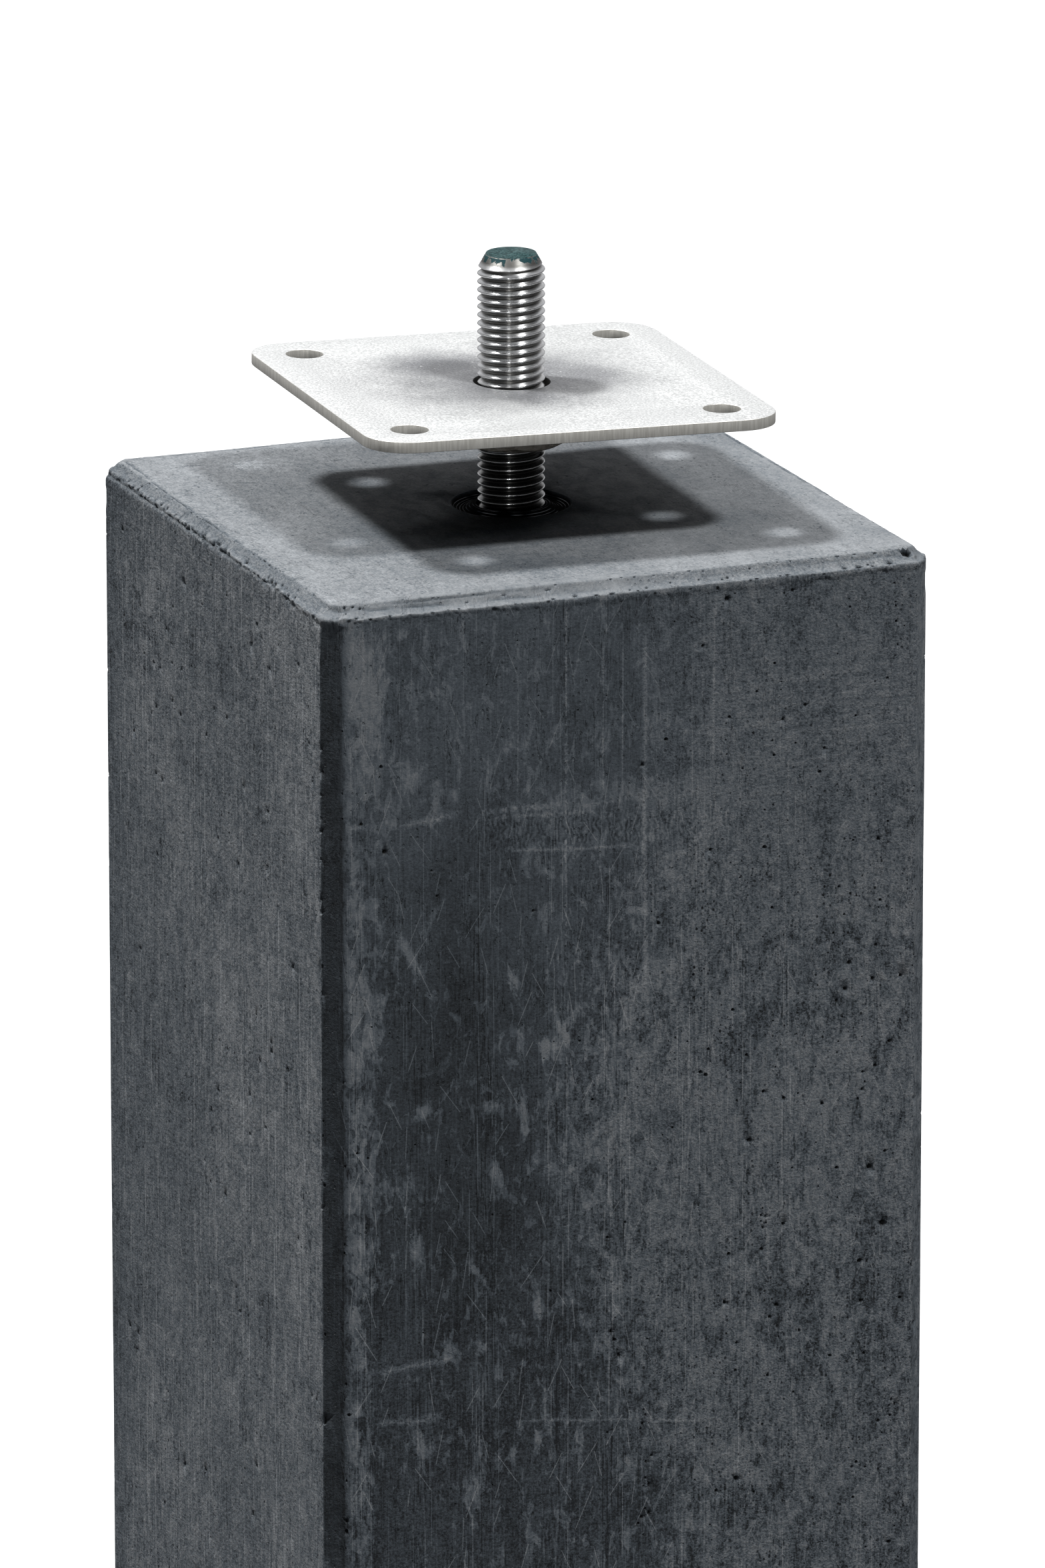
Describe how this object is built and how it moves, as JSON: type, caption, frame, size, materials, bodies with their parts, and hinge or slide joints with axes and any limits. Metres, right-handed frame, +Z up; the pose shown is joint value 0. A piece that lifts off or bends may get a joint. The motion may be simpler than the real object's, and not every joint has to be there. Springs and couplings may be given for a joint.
{
  "type": "adjustable concrete post base",
  "caption": "Square precast concrete post base with a threaded steel rod and a height-adjustable steel plate with screw holes that carries a timber post.",
  "frame": {"origin": "centre of the block's flat underside, where it stands on the ground", "axes": "+Z up along the block and the rod; -Y out of the wide side in the picture and -X out of the narrow side beside it"},
  "size_m": [0.15, 0.15, 0.6597],
  "materials": {
    "concrete": "matte",
    "rod_steel": "satin",
    "plate_steel": "satin",
    "nut_steel": "satin"
  },
  "bodies": {
    "footing": {"concrete_block": "concrete", "threaded_rod": "rod_steel"},
    "plate": {"top_plate": "plate_steel", "welded_nut": "nut_steel"}
  },
  "joints": [
    {"name": "plate_height", "type": "slide", "parent": "footing", "child": "plate", "axis": [0, 0, 1], "range_m": [-0.0135, 0.028]}
  ]
}
